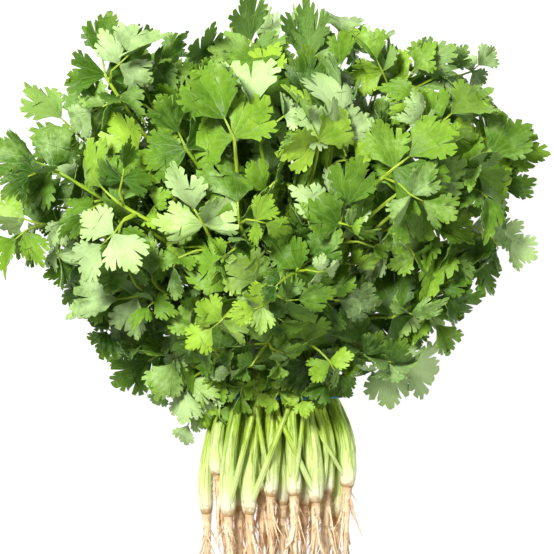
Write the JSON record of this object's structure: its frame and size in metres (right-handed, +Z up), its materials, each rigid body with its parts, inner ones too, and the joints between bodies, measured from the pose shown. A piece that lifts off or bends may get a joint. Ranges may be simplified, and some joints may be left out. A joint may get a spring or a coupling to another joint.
{
  "type": "coriander bunch",
  "caption": "Bunch of fresh coriander lying on its side: a broad leafy head on thin stems, swollen pale stem bases and tan roots, held by a rubber band.",
  "frame": {"origin": "under the middle of the rubber band, on the surface that the bunch lies on", "axes": "+Y along the bunch from the roots to the leaves, +Z up from the surface it lies on, +X across it"},
  "size_m": [0.2752, 0.3199, 0.1167],
  "materials": {
    "leafy_stem": "fresh green leaf and stem, slightly waxy",
    "root": "tan root skin, matte",
    "rubber_band": "smooth blue rubber"
  },
  "bodies": {
    "root": {"leafy_stem_01": "leafy_stem", "leafy_stem_02": "leafy_stem", "leafy_stem_03": "leafy_stem", "leafy_stem_04": "leafy_stem", "leafy_stem_05": "leafy_stem", "leafy_stem_06": "leafy_stem", "leafy_stem_07": "leafy_stem", "leafy_stem_08": "leafy_stem", "leafy_stem_09": "leafy_stem", "leafy_stem_10": "leafy_stem", "leafy_stem_11": "leafy_stem", "leafy_stem_12": "leafy_stem", "leafy_stem_13": "leafy_stem", "leafy_stem_14": "leafy_stem", "leafy_stem_15": "leafy_stem", "leafy_stem_16": "leafy_stem", "leafy_stem_17": "leafy_stem", "leafy_stem_18": "leafy_stem", "leafy_stem_19": "leafy_stem", "leafy_stem_20": "leafy_stem", "leafy_stem_21": "leafy_stem", "leafy_stem_22": "leafy_stem", "leafy_stem_23": "leafy_stem", "leafy_stem_24": "leafy_stem", "root_01": "root", "root_02": "root", "root_03": "root", "root_04": "root", "root_05": "root", "root_06": "root", "root_07": "root", "root_08": "root", "root_09": "root", "root_10": "root", "root_11": "root", "root_12": "root", "root_13": "root", "root_14": "root", "root_15": "root", "root_16": "root", "root_17": "root", "root_18": "root", "root_19": "root", "root_20": "root", "root_21": "root", "root_22": "root", "root_23": "root", "root_24": "root", "rubber_band": "rubber_band"}
  },
  "joints": []
}
